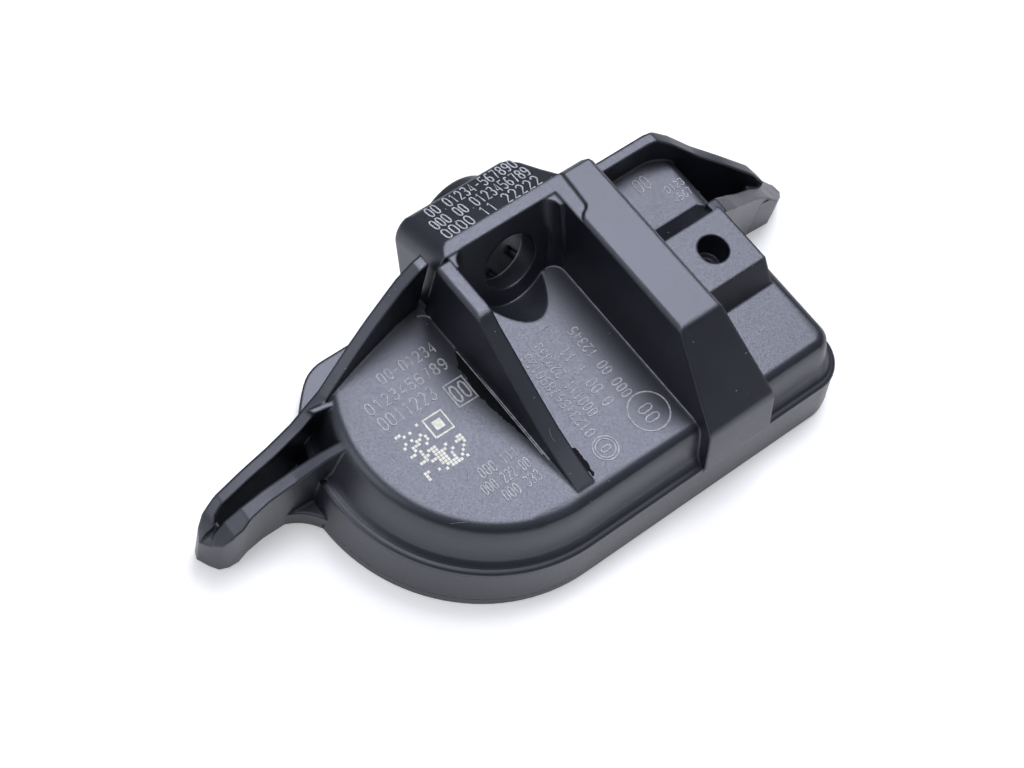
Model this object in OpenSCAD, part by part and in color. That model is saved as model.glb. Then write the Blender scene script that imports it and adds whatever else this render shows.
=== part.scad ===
// Wheel pressure sensor with a clip-on case for a snap-in valve.
// Millimetres. X runs along the wings, Y toward the valve, Z up from the rim side.

/* [Case] */
// Height of the label deck above the bottom
deck_z = 7.75; // [7.4:0.05:9]
// Radius of the round cell chamber at the deck edge
dome_r = 10.3; // [10:0.1:11]
// Distance from the cell centre to the right edge of the deck
deck_len = 22.6; // [22:0.1:26]
// Distance from the cell centre to the back edge of the deck
deck_back = 8.0; // [7.8:0.1:8.6]
// How far the case wall flares out from the deck edge to the flange
flare = 2.3; // [2:0.1:3]
// Height of the flange that carries the parting line
flange_z = 4.05; // [3.6:0.05:4.6]
// Outward draft of the flange down to the parting line
draft = 0.35; // [0.1:0.05:0.5]
// Least wall around the hollow at the flange
rim_wall = 1.5; // [1.2:0.05:1.9]

/* [Valve end] */
// Tilt of the valve axis below the horizontal, degrees
valve_tilt = 21.5; // [15:0.5:28]
// Sideways place of the valve axis from the cell centre
valve_dx = 6.4; // [5.6:0.1:7]
// Top of the head that holds the valve
head_z = 13.55; // [13:0.05:14.5]
// Radius of the screw hole
screw_r = 2.25; // [1.6:0.05:2.4]
// Radius of the driver trough in front of the screw hole
driver_r = 3.6; // [3:0.05:3.7]
// Radius of the seat that the valve foot plugs into
seat_r = 2.7; // [2.5:0.05:2.8]
// Radius of the collar around the seat
collar_r = 3.75; // [3.4:0.05:4]
// How far the collar stands off the head
collar_out = 0.95; // [0.4:0.05:1.2]

/* [Rail and rib] */
// Height of the rail over the deck
rail_rise = 6.05; // [5.7:0.05:7]
// Width of the rail at its top
rail_w = 3.85; // [3.6:0.05:4.4]
// Thickness of the rib left of the screw pocket
rib_t = 1.5; // [1.2:0.05:1.8]
// Width of the screw pocket floor
pocket_w = 8.9; // [8.4:0.1:9.4]

/* [Port block] */
// Height of the pressure port block over the deck
block_rise = 1.7; // [1.3:0.05:2.2]
// Radius of the pressure port
port_r = 1.15; // [0.8:0.05:1.4]

/* [Wings] */
// Thickness of the wing walls
wing_t = 0.9; // [0.7:0.05:1.1]
// Thickness of the wing floors
wing_floor = 1.5; // [1.2:0.05:1.8]
// Rise of the right tray wall over the deck
tray_rise = 2.5; // [2:0.05:3]

/* [Inside] */
// Thickness of the base cover
cover_t = 0.75; // [0.6:0.05:0.9]
// Clear height under the circuit board
under_board = 0.95; // [0.8:0.05:1]
// Thickness of the circuit board
board_t = 0.8; // [0.6:0.05:0.9]
// Radius of the coin cell
cell_r = 8.0; // [7.5:0.05:8.1]
// Thickness of the coin cell
cell_t = 3.2; // [2.6:0.05:3.2]
// Thickness of the contact tabs
tab_t = 0.2; // [0.15:0.01:0.2]

/* [Hidden] */
$fn = 64;
e = 0.02;

// cell centre before the part is moved so that its box stands on the origin
cx = -4.6;
cy = -1.8;
deck_x = cx + deck_len;
deck_f = cy - dome_r;
deck_b = cy + deck_back;
corner = 0.6;
vx = cx + valve_dx;
st = sin(valve_tilt);
ct = cos(valve_tilt);
tt = tan(valve_tilt);
rail_z = deck_z + rail_rise;
// screw wall foot on the deck and the point where the valve axis leaves it
wall_y = 3.17;
axis_up = 2.5;
ay = wall_y + axis_up * st;
az = deck_z + axis_up * ct;
head_len = 4.86;
// wall left between screw hole and seat, and length of the grooves at the seat's bottom
seat_t = 1.6;
groove_len = 1.4;
pocket_l = vx - 4.88;
pocket_r = pocket_l + pocket_w;
rail_l = pocket_r;
rib_l = pocket_l - rib_t;
// bay of the hollow right of the screw pocket; the parts in it are drawn for drawn_bay
bay_l = rail_l + 0.75;
bay_r = deck_x - 0.3;
drawn_bay = 11.13;
bx = (bay_r - bay_l) / drawn_bay;
port_x = bay_r - 2.6 * bx;
port_y = cy - 1.1;
left_tip = -26.05;
right_tip = 27.9;
front_y = deck_f - flare - draft;
back_y = ay + (head_len + collar_out) * ct + collar_r * st;
mid_x = (left_tip + right_tip) / 2;
mid_y = (front_y + back_y) / 2;

// heights inside
board_z = cover_t + under_board;
top_z = board_z + board_t;
cell_z = top_z + tab_t;
roof_z = cell_z + cell_t + tab_t;
gap = 0.15;

module place() translate([-mid_x, -mid_y, 0]) children();
module black() color([0.035, 0.037, 0.045]) children();

// the wall of the case, as distance out from the deck edge and height
wall_pts = [[0, cover_t], [flare + draft, cover_t],
  [flare, flange_z - 0.12], [flare - 0.14, flange_z],
  [flare - 0.5, flange_z + 0.2], [flare - 0.8, flange_z + 0.55],
  [flare - 0.98, flange_z + 1.05], [flare - 1.12, flange_z + 1.75],
  [flare - 1.28, flange_z + 2.4], [0.82, deck_z - 0.62], [0.6, deck_z - 0.3],
  [0.3, deck_z - 0.09], [0, deck_z]];

// the same wall turned about an axis that stands r inside the deck edge
function turned(r) = [for (p = wall_pts) [p[0] == 0 && p[1] < deck_z ? 0 : p[0] + r, p[1]]];
module turn(r, a, f) rotate_extrude(angle = a, $fn = f)
  polygon(concat(turned(r), [[0, deck_z]]));

// the left half is round; behind the wing wall only a low ledge of it stands
module round_case() difference() {
  translate([cx, cy, 0]) rotate([0, 0, 90]) turn(dome_r, 180, 120);
  translate([0, 0, wing_floor]) linear_extrude(height = 20)
    polygon(concat([for (i = [0:6]) lw_out[i]], [[-21, 3.3], [-21, 14], [cx + 1, 14],
      [cx + 1, 6.6]]));
  translate([0, 0, -1]) linear_extrude(height = 20) difference() {
    translate([cx - 20, cy]) square([21, 30]);
    ledge_clip(0);
  }
}

module box_case() {
  x1 = deck_x - corner;
  y0 = deck_f + corner;
  y1 = deck_b - corner;
  w = wall_pts;
  n = len(w) - 1;
  intersection() {
    yz(cx, deck_x + flare + 1, concat([for (i = [1:n]) [deck_f - w[i][0], w[i][1]]],
      [for (i = [n:-1:1]) [deck_b + w[i][0], w[i][1]]]));
    xz(-30, 30, concat([[cx, deck_z + 1], [cx, cover_t]],
      [for (i = [1:n]) [deck_x + w[i][0], w[i][1]]], [[deck_x, deck_z + 1]]));
    union() {
      translate([cx - 1, -30, 0]) cube([x1 - cx + 1, 60, 20]);
      translate([cx - 1, y0, 0]) cube([40, y1 - y0, 20]);
      for (y = [y0, y1]) translate([x1, y, 0]) turn(corner, 360, 48);
    }
  }
}

// along the valve axis: child z points to the valve
module on_axis(t) translate([vx, ay, az]) rotate([-90 - valve_tilt, 0, 0])
  translate([0, 0, t]) children();

module yz(x0, x1, pts) translate([x0, 0, 0]) rotate([90, 0, 90])
  linear_extrude(height = x1 - x0) polygon(pts);
module xz(y0, y1, pts) translate([0, y1, 0]) rotate([90, 0, 0])
  linear_extrude(height = y1 - y0) polygon(pts);

module head() {
  drop = 6.46;
  // the back face is square to the valve axis, head_len behind the screw wall
  back = ct * (head_len + ay * ct + (head_z + drop * tt - az) * st);
  zb = head_z - (back - drop) * tt;
  zl = flange_z - 0.6;
  yl = back - (zb - zl) * tt;
  // left corner is round about the valve direction, the right one is cut off in plan
  intersection() {
    yz(vx - 7.5, vx + 7.5, [[wall_y - 0.4 * tt, deck_z - 0.4],
      [wall_y + (head_z - deck_z) * tt, head_z], [drop, head_z], [back - 0.25, zb + 0.1],
      [back, zb - 0.12], [yl, zl], [wall_y - 0.4 * tt, zl]]);
    on_axis(-6) linear_extrude(height = 20) union() {
      translate([-6.0, -2.5]) square([14, 14]);
      translate([-4.4, -2.5]) circle(r = 1.6, $fn = 32);
      translate([-4.4, -8]) square([14, 14]);
    }
    linear_extrude(height = 20) polygon([[vx - 8, 0], [vx - 8, back + 1], [vx + 3.4, back + 1],
      [vx + 3.5, back], [vx + 4.0, back - 0.4], [vx + 4.42, 9.1], [vx + 4.95, 7.75],
      [vx + 5.5, 6.55], [vx + 5.95, 6.2], [vx + 5.95, 0]]);
  }
  on_axis(head_len - 0.3) cylinder(r = collar_r, h = collar_out + 0.3);
}

module rail() difference() {
  rail_body();
  // the rail top starts a little right of the pocket beside the head
  translate([0, 0, head_z]) linear_extrude(height = 5) polygon([[rail_l - 1, 2.3],
    [rail_l + 0.4, 2.4], [rail_l + 0.85, 2.95], [rail_l + 1.28, 3.16], [rail_l + 1.5, 3.45],
    [rail_l + 1.62, 4.9], [rail_l + 1.7, 6.3], [rail_l + 1.7, 7], [rail_l - 1, 7]]);
}
module rail_body() {
  b = 6.5;
  f = -8.0;
  tip_z = deck_z + 0.35;
  intersection() {
    yz(rail_l - 1, rail_l + 9, [[b, cover_t + 2], [b, rail_z - 0.3], [b - 0.3, rail_z],
      [f + 0.35, rail_z], [f, rail_z - 0.12], [f - 0.35, rail_z - 0.45],
      [front_y + 1.2, tip_z], [front_y + 0.85, tip_z - 0.6], [front_y + 0.2, flange_z + 0.1],
      [front_y + 0.4, cover_t + 2]]);
    xz(-20, 20, [[rail_l, cover_t], [rail_l, deck_z], [rail_l + 0.42, rail_z - 0.3],
      [rail_l + 0.65, rail_z], [rail_l + 0.42 + rail_w - 0.25, rail_z],
      [rail_l + 0.42 + rail_w, rail_z - 0.2], [rail_l + rail_w + 2.2, tip_z - 0.2],
      [rail_l + rail_w + 2.35, flange_z], [rail_l + rail_w + 2.35, cover_t]]);
    linear_extrude(height = 20) polygon([[rail_l - 1, -20],
      [rail_l + 9, -20], [rail_l + 9, b - 3], [rail_l + rail_w + 0.5, b - 0.6],
      [rail_l + rail_w - 0.2, b], [rail_l - 1, b]]);
  }
}

module rib() {
  s = head_z - deck_z;
  intersection() {
    yz(rib_l, pocket_l + 0.02, [[5.2, deck_z - 0.6], [5.2, head_z], [1.0, head_z],
      [0.5, head_z - 0.12], [-0.3, deck_z + 0.88 * s], [-2.7, deck_z + 0.66 * s],
      [-5.1, deck_z + 0.445 * s], [-7.5, deck_z + 0.24 * s], [-9.45, deck_z + 0.12 * s],
      [-11.75, deck_z + 0.01 * s], [-11.75, deck_z - 0.6]]);
    xz(-13, 6, [[rib_l, deck_z - 0.6], [rib_l, head_z - 0.3], [rib_l + 0.2, head_z],
      [pocket_l - 0.3, head_z], [pocket_l, deck_z], [pocket_l, deck_z - 0.6]]);
  }
}

// round fills in the two back corners of the pocket, leaning with the screw wall
module pocket_fill(x, sgn) multmatrix([[1, 0, 0, x], [0, 1, tt, wall_y], [0, 0, 1, deck_z],
    [0, 0, 0, 1]])
  linear_extrude(height = head_z - deck_z - 0.1) polygon([[-0.3 * sgn, 0.3], [-0.3 * sgn, -1],
    for (a = [0:15:90]) [sgn * (1 - cos(a)), sin(a) - 1], [sgn, 0.3]]);

module port_block() {
  xr = deck_x - 0.15;
  top = deck_z + block_rise;
  intersection() {
    yz(rail_l + 2, xr, [[port_y - 4.0, deck_z - 0.5], [port_y - 4.0, deck_z],
      [port_y - 2.6, top], [port_y + 2.45, top], [port_y + 4.1, deck_z],
      [port_y + 4.1, deck_z - 0.5]]);
    linear_extrude(height = 20) polygon([[rail_l, -20], [xr, -20], [xr, port_y + 1.8],
      [xr - 0.3, port_y + 4.2], [rail_l, port_y + 4.2]]);
  }
}

// plan lines of the left wing walls, from the head to the tip
lw_out = [[-4.8, 6.6], [-7, 6.35], [-8.6, 5.95], [-9.7, 5.7], [-11.6, 5.2], [-14.4, 4.35],
  [-17.2, 3.65], [-19.4, 3.3], [-21.7, 3.0], [-24.3, 2.6], [-25.25, 2.35], [-25.8, 1.95],
  [left_tip, 1.4]];
lw_in = [[-25.05, 1.2], [-24.75, 1.6], [-24.2, 1.8], [-21.7, 2.15], [-19.4, 2.42],
  [-17.0, 2.8], [-14.2, 3.48], [-11.4, 4.3], [-9.5, 4.8], [-8.4, 5.05], [-7, 5.4],
  [-4.8, 5.7]];
lw_top = [[-4.8, head_z], [-5.6, head_z - 0.05], [-6.8, head_z - 0.75], [-8.3, head_z - 1.6],
  [-10.2, head_z - 2.9], [-12.2, head_z - 4.35], [-14.4, deck_z - 0.1], [-17.2, deck_z - 0.9],
  [-19.4, deck_z - 1.4], [-21.7, deck_z - 1.75], [-24.0, deck_z - 2.2], [-25.0, deck_z - 2.95],
  [-25.75, deck_z - 3.9], [left_tip, deck_z - 4.8]];
lf_out = [[-13.4, -0.75], [-15, -0.3], [-16.8, 0], [-19, 0.1], [-21.4, 0.1], [-22.9, -0.1],
  [-23.8, -0.38], [-24.6, -0.35], [-25.25, -0.1], [-25.65, 0.5]];
lf_in = [[-25.2, 1.0], [-24.6, 1.05], [-23.2, 1.0], [-21.2, 1.1], [-19.1, 1.05],
  [-17, 0.8], [-15, 0.45], [-13.4, 0.15]];
lf_top = [[-13.2, deck_z], [-14.6, deck_z - 0.12], [-17, deck_z - 0.85], [-19.1, deck_z - 1.6],
  [-21.2, deck_z - 2.0], [-23.2, deck_z - 2.3], [-24.4, deck_z - 3.0], [-25.3, deck_z - 4.1],
  [left_tip, deck_z - 5.2]];

// the inner lines are drawn for this wall and shift with the wall that is set
drawn_t = 0.9;
function moved(l, s) = [for (p = l) [p[0], p[1] + s * (drawn_t - wing_t)]];
module strip(pts) linear_extrude(height = 20) polygon(pts);
module under(tops, y0, y1) xz(y0, y1, concat(tops, [[tops[len(tops) - 1][0], 0], [tops[0][0], 0]]));

module left_wing() {
  intersection() {
    strip(concat(lw_out, moved(lw_in, 1)));
    under(lw_top, -2, 10);
  }
  intersection() {
    strip(concat(lf_out, moved(lf_in, -1)));
    under(lf_top, -3, 4);
  }
  // end wall that closes the trough at the tip
  intersection() {
    strip([[-24.6, 1.9], [-24.6, 0.5], [-25.25, -0.1], [-25.65, 0.5], [left_tip, 1.4],
      [-25.8, 1.95]]);
    under([[-24.5, 4.1], [-25.3, 3.4], [left_tip, 2.7]], -1, 3);
  }
  // thin third rib from the wing wall to the dome
  linear_extrude(height = deck_z - 0.15)
    polygon([[-15.9, 3.6], [-15.7, 3.1], [-11.9, 2.4], [-11.9, 2.85]]);
  // floor with the hollow sweep into the round case
  difference() {
    linear_extrude(height = wing_floor) wing_plan();
    translate([cx, cy, -1]) cylinder(r = dome_r + 1.2, h = 4);
  }
}
// the sweep is a circle that touches the wing front line and the case
sweep_r = 3.8;
lip_y = 0.35;
sweep_y = lip_y - sweep_r;
sweep_x = cx - sqrt(pow(dome_r + flare + sweep_r, 2) - pow(cy - sweep_y, 2));
module wing_plan() difference() {
  polygon(concat([[cx - 3, cy - 7], [cx - 3, 6.2]], [for (i = [1:12]) lw_out[i]],
    [[-25.65, 0.5], [-25.25, -0.05], [-24.6, -0.2], [-23.8, lip_y - 0.3], [-22.9, lip_y], [sweep_x, lip_y],
    [sweep_x, cy - 3.2]]));
  translate([sweep_x, sweep_y]) circle(r = sweep_r, $fn = 96);
  translate([sweep_x - 0.01, cy - 8]) square([4.3, 8 + sweep_y - cy]);
}

rw_out = [[10, 7.0], [16.5, 7.0], [17.5, 6.85], [18.6, 6.35], [20.4, 5.3], [22.3, 3.85],
  [24.3, 2.5], [25.2, 1.9], [25.7, 1.4]];
rw_in = [[25.0, 0.95], [24.6, 1.25], [23.7, 1.8], [21.8, 3.1], [19.9, 4.5], [18.1, 5.55],
  [17.1, 6.05], [16.4, 6.15], [10, 6.15]];
rw_top = [[10, deck_z + tray_rise], [17.2, deck_z + tray_rise], [18.6, deck_z + tray_rise - 0.85],
  [20.4, deck_z + 0.15], [22.3, deck_z - 0.8], [24.3, deck_z - 2.05], [25.2, deck_z - 3.2],
  [25.8, deck_z - 4.4]];
rf_out = [[17.2, -1.0], [18.05, -1.0], [19.5, -0.85], [21.1, -0.55], [23, -0.3], [24.6, -0.2],
  [25.9, -0.35], [26.9, 0.2]];
rf_in = [[25.7, 1.5], [25.0, 1.15], [24.3, 0.95], [23, 0.75], [21, 0.5], [19, 0.35],
  [17.2, 0.3]];
rf_top = [[17.2, deck_z + block_rise], [18.1, deck_z + block_rise - 0.1], [19.6, deck_z + 0.6],
  [21.1, deck_z - 0.6], [23, deck_z - 1.85], [24.6, deck_z - 3.2], [25.4, deck_z - 4.1],
  [right_tip, 1.3]];

module right_wing() {
  intersection() {
    strip(concat(rw_out, moved(rw_in, 1)));
    under(rw_top, -2, 10);
  }
  intersection() {
    strip(concat(rf_out, moved(rf_in, -1)));
    under(rf_top, -3, 4);
  }
  // foot that flares out past the tray
  intersection() {
    strip([[23.9, -0.25], [25.9, -0.35], [27.3, 0.3], [right_tip, 0.85], [27.75, 1.6],
      [26.6, 1.95], [25.0, 1.95], [23.9, 1.9]]);
    under([[23.9, 4.3], [24.7, 4.2], [25.3, 3.75], [27.5, 1.45], [right_tip, 1.15]], -1, 3);
  }
  linear_extrude(height = wing_floor) polygon(concat([[deck_x - 0.5, -1.0], [deck_x - 0.5, 6.0]],
    [[18.6, 6.3], [20.4, 5.3], [22.3, 3.85], [24.3, 2.5], [25.2, 1.9], [25.7, 1.4]],
    [[25.9, -0.35], [24.6, -0.2], [23, -0.2], [21.1, -0.3]]));
}

// behind the wing wall the flange draws in to a smaller radius with a round corner
ledge_r = dome_r + 2.0;
ledge_c = 3.5;
ledge_y = deck_b + 2.2;
ledge_x = cx - sqrt(pow(ledge_r - ledge_c, 2) - pow(ledge_y - ledge_c - cy, 2));
ledge_t = cy + (ledge_y - ledge_c - cy) * ledge_r / (ledge_r - ledge_c);
module ledge_clip(d) {
  translate([cx - 20, cy - 20]) square([20 + e, 25.6]);
  intersection() {
    translate([cx, cy]) circle(r = ledge_r + d, $fn = 120);
    union() {
      translate([cx - 20, cy]) square([20 + e, ledge_t - cy]);
      translate([ledge_x, ledge_y - ledge_c]) circle(r = ledge_c + d);
      translate([ledge_x, cy]) square([cx + e - ledge_x, ledge_y + d - cy]);
    }
  }
}

// plan outline at the parting line, grown by d
module flange_plan(d) {
  x1 = deck_x + flare + draft + d;
  y0 = deck_f - flare - draft - d;
  y1 = deck_b + flare + draft + d;
  r = max(0.5, corner + flare + draft + d);
  intersection() {
    translate([cx, cy]) circle(r = dome_r + flare + draft + d, $fn = 120);
    ledge_clip(d);
  }
  difference() {
    union() {
      translate([cx, y0]) square([x1 - cx, ledge_y + d - y0]);
      translate([cx - d, y0]) square([x1 - cx + d, y1 - y0]);
    }
    for (c = [[y0, 1], [y1, -1]]) difference() {
      translate([x1 - r, c[0] + (c[1] - 1) / 2 * r]) square([r + 1, r]);
      translate([x1 - r, c[0] + c[1] * r]) circle(r = r, $fn = 48);
    }
  }
}
// hollow for the board: it keeps clear of the wing wall behind the cell
module low_hollow(d) intersection() {
  flange_plan(-rim_wall - draft - d);
  polygon([[-30, -30], [30, -30], [30, 30], [cx + 0.5, 30], [cx + 0.5, 5.45 - d],
    [-9.5, 4.5 - d], [-14.1, 3.1 - d], [-17, 2.3 - d], [-30, -1.5 - d]]);
}
// hollow for the cell and for the parts on the board, none under the screw pocket
cell_y = cy - 0.5;
hollow_f = cy - 9.2;
module high_hollow() {
  translate([cx, cell_y]) circle(r = cell_r + gap, $fn = 120);
  translate([cx, hollow_f]) square([bay_r - cx, 9.4]);
  translate([bay_l, hollow_f]) square([bay_r - bay_l, 15.6]);
}
core_x = rail_l + 1.75;
core_w = 1.5;

module housing() black() place() difference() {
  union() {
    round_case();
    box_case();
    head();
    rail();
    rib();
    pocket_fill(pocket_l, 1);
    pocket_fill(pocket_r + 0.05, -1);
    port_block();
    difference() {
      union() {
        left_wing();
        right_wing();
      }
      // the wings stand round the base cover
      translate([0, 0, -1]) linear_extrude(height = cover_t + 1) flange_plan(0);
    }
  }
  // hollow for board and cell
  translate([0, 0, -1]) linear_extrude(height = top_z + 1) low_hollow(0);
  translate([0, 0, top_z - e]) linear_extrude(height = roof_z - top_z + e) high_hollow();
  // hollow in the rail for the antenna
  translate([core_x, -7.2, roof_z - e]) cube([core_w, 12.2, rail_z - 1.6 - roof_z]);
  // groove for the cover seal
  translate([0, 0, cover_t - e]) linear_extrude(height = 0.3 + e) difference() {
    flange_plan(-0.45);
    flange_plan(-1.05);
  }
  // driver trough, screw hole and valve seat
  on_axis(-9) cylinder(r = driver_r, h = 9);
  on_axis(-1) cylinder(r = screw_r, h = 4);
  on_axis(seat_t) cylinder(r = seat_r, h = 9);
  // grooves that let the air out when the valve's foot is pushed in
  for (a = [0:45:315]) on_axis(seat_t) rotate([0, 0, a]) translate([seat_r - 0.05, 0, 0])
    cylinder(r = 0.3, h = groove_len, $fn = 16);
  // pressure port, wide above and narrow through the roof
  translate([port_x, port_y, roof_z + 1]) cylinder(r = port_r, h = 10, $fn = 48);
  translate([port_x, port_y, roof_z - 1]) cylinder(r = 0.55, h = 3, $fn = 32);
}

module base_cover() color([0.05, 0.052, 0.06]) place() {
  linear_extrude(height = cover_t) flange_plan(0);
  // ring that holds the board up against its ledge
  translate([0, 0, cover_t - e]) linear_extrude(height = under_board + e) difference() {
    low_hollow(0.2);
    low_hollow(1.0);
  }
}

module cover_seal() color([0.12, 0.12, 0.12]) place()
  translate([0, 0, cover_t]) linear_extrude(height = 0.3) difference() {
    flange_plan(-0.45);
    flange_plan(-1.05);
  }

module circuit_board() color([0.05, 0.22, 0.12]) place()
  translate([0, 0, board_z]) linear_extrude(height = board_t) low_hollow(gap);

// parts on the board, placed from the port and, left of the bay, from the cell's tab
coil_x = port_x - 1.2 * bx;
coil_y = port_y + 5.0;
coil_l = 7.2 * bx;
coil_end = 0.8;
end_x = (coil_l - coil_end) / 2;
xtal_x = port_x - 2.2 * bx;
xtal_y = port_y - 6.1;
chip_w = 5.0;
chip_t = 1.7;
gel_r = 1.5 * bx;
pad_t = 0.05;
lid_t = 0.15;
tab_gap = 1.12;
tab_x = cx + cell_r + gap + 0.35;
left_x = tab_x + tab_gap + 0.55 * bx;
function on(x, y, a) = [port_x + x * bx, port_y + y, a];
caps = [on(1.2, -4.5, 90), on(1.2, -6.8, 90), on(-3.8, -3.8, 0), on(-1.2, -3.8, 0)];
ress = [on(-5.0, -6.1, 90), [left_x, port_y - 6.1, 90], [left_x, port_y - 3.6, 90]];
inds = [on(-4.6, 1.9, 0), on(-4.6, -0.5, 90)];
module slab(w, d, h) translate([-w / 2, -d / 2, 0]) cube([w, d, h]);
// a slab at a place of the lists, turned with it and offset along its length
module chip_part(p, z, along, w, d, h)
  translate(p[2] == 90 ? [p[0], p[1] + along, z] : [p[0] + along * bx, p[1], z])
    slab((p[2] == 90 ? d : w) * bx, p[2] == 90 ? w : d, h);

module board_pads() color([0.72, 0.45, 0.2]) place() {
  for (p = concat(caps, ress)) for (s = [-1, 1]) chip_part(p, top_z, s * 0.75, 0.5, 0.9, pad_t);
  for (p = inds) for (s = [-1, 1]) chip_part(p, top_z, s * 0.85, 0.5, 1.4, pad_t);
  for (s = [-1, 1]) translate([coil_x + s * end_x, coil_y, top_z]) slab(coil_end, 2.0, pad_t);
  for (s = [-1, 1]) translate([xtal_x + s * 1.05 * bx, xtal_y, top_z]) slab(0.8 * bx, 1.8, pad_t);
}

module cell_can() color([0.72, 0.73, 0.75]) place() translate([cx, cell_y, cell_z]) difference() {
  translate([0, 0, 0.35]) cylinder(r = cell_r, h = cell_t - 0.35, $fn = 96);
  translate([0, 0, 0.3]) cylinder(r = cell_r - 0.3, h = cell_t - 0.6, $fn = 96);
}
module cell_gasket() color([0.2, 0.2, 0.22]) place() translate([cx, cell_y, cell_z])
  difference() {
    translate([0, 0, 0.2]) cylinder(r = cell_r - 0.3, h = 0.9, $fn = 96);
    cylinder(r = cell_r - 0.9, h = 2, $fn = 96);
  }
module cell_cap() color([0.66, 0.67, 0.69]) place() translate([cx, cell_y, cell_z])
  cylinder(r = cell_r - 0.9, h = cell_t - 0.3, $fn = 96);

module positive_tab() color([0.75, 0.74, 0.7]) place() {
  translate([cx - 3, cell_y - 4, roof_z - tab_t]) cube([tab_x - cx + 3, 4, tab_t]);
  translate([tab_x - tab_t, cell_y - 4, top_z]) cube([tab_t, 4, roof_z - top_z]);
}
module negative_tab() color([0.75, 0.74, 0.7]) place()
  translate([cx, cell_y, top_z]) union() {
    cylinder(r = 3, h = tab_t, $fn = 48);
    translate([0, hollow_f + 2 * gap - cell_y, 0]) cube([3, cell_y - hollow_f - 2 * gap, tab_t]);
  }

module sensor_pads() color([0.75, 0.6, 0.3]) place()
  for (s = [-1, 1]) for (i = [-3:3])
    translate([port_x + s * (chip_w / 2 - 0.35) * bx, port_y + i * 0.65, top_z])
      slab(0.7 * bx, 0.35, pad_t);
module sensor_chip() color([0.06, 0.06, 0.065]) place() translate([port_x, port_y, top_z + pad_t])
  difference() {
    slab(chip_w * bx, chip_w, chip_t);
    translate([0, 0, 0.5]) cylinder(r = gel_r, h = chip_t, $fn = 48);
  }
module sensor_gel() color([0.8, 0.82, 0.85]) place()
  translate([port_x, port_y, top_z + pad_t + 0.5]) cylinder(r = gel_r, h = chip_t - 0.5, $fn = 48);
module sensor_lid() color([0.6, 0.61, 0.63]) place()
  translate([port_x, port_y, top_z + pad_t + chip_t]) difference() {
    slab((chip_w - 0.8) * bx, chip_w - 0.8, lid_t);
    translate([0, 0, -1]) cylinder(r = 0.55, h = 3, $fn = 32);
  }
module port_seal() color([0.16, 0.15, 0.14]) place()
  translate([port_x, port_y, top_z + pad_t + chip_t + lid_t]) difference() {
    cylinder(r = gel_r + 0.4 * bx, h = roof_z - (top_z + pad_t + chip_t + lid_t), $fn = 48);
    translate([0, 0, -1]) cylinder(r = 0.8 * bx, h = 8, $fn = 32);
  }

module coil_core() color([0.12, 0.12, 0.13]) place()
  translate([coil_x, coil_y, top_z + pad_t + 0.15]) {
    translate([0, 0, 0.45]) slab(coil_l, 1.5, 1.4);
    for (s = [-1, 1]) translate([s * end_x, 0, 0]) slab(coil_end, 2.4, 2.3);
  }
module coil_winding() color([0.7, 0.34, 0.16]) place()
  translate([coil_x, coil_y, top_z + pad_t + 0.15]) difference() {
    translate([0, 0, 0.1]) slab(coil_l - 2 * coil_end, 2.2, 2.1);
    translate([0, 0, 0.45]) slab(coil_l, 1.5, 1.4);
  }
module coil_ends() color([0.8, 0.8, 0.78]) place()
  for (s = [-1, 1]) translate([coil_x + s * end_x, coil_y, top_z + pad_t])
    slab(coil_end, 2.0, 0.15);

module crystal_base() color([0.75, 0.72, 0.66]) place()
  translate([xtal_x, xtal_y, top_z + pad_t]) slab(3.2 * bx, 2.5, 0.45);
module crystal_lid() color([0.8, 0.79, 0.74]) place()
  translate([xtal_x, xtal_y, top_z + pad_t + 0.45]) slab(2.9 * bx, 2.2, 0.35);

module antenna() color([0.78, 0.6, 0.3]) place()
  yz(core_x + core_w / 2 - 0.2, core_x + core_w / 2 + 0.2, [[-6.6, top_z], [-6.6, rail_z - 2.2],
    [4.4, rail_z - 2.2], [4.4, top_z], [3.2, top_z], [3.2, rail_z - 3.4],
    [-5.4, rail_z - 3.4], [-5.4, top_z]]);

module capacitors() color([0.6, 0.5, 0.38]) place()
  for (p = caps) chip_part(p, top_z + pad_t, 0, 2.0, 1.2, 0.9);
module resistors() color([0.08, 0.08, 0.09]) place()
  for (p = ress) chip_part(p, top_z + pad_t, 0, 2.0, 1.1, 0.5);
module inductors() color([0.15, 0.16, 0.2]) place()
  for (p = inds) chip_part(p, top_z + pad_t, 0, 2.2, 1.6, 1.3);

housing();
base_cover();
cover_seal();
circuit_board();
board_pads();
cell_can();
cell_gasket();
cell_cap();
positive_tab();
negative_tab();
sensor_chip();
sensor_pads();
sensor_lid();
sensor_gel();
port_seal();
coil_core();
coil_winding();
coil_ends();
crystal_base();
crystal_lid();
antenna();
capacitors();
resistors();
inductors();
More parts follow.
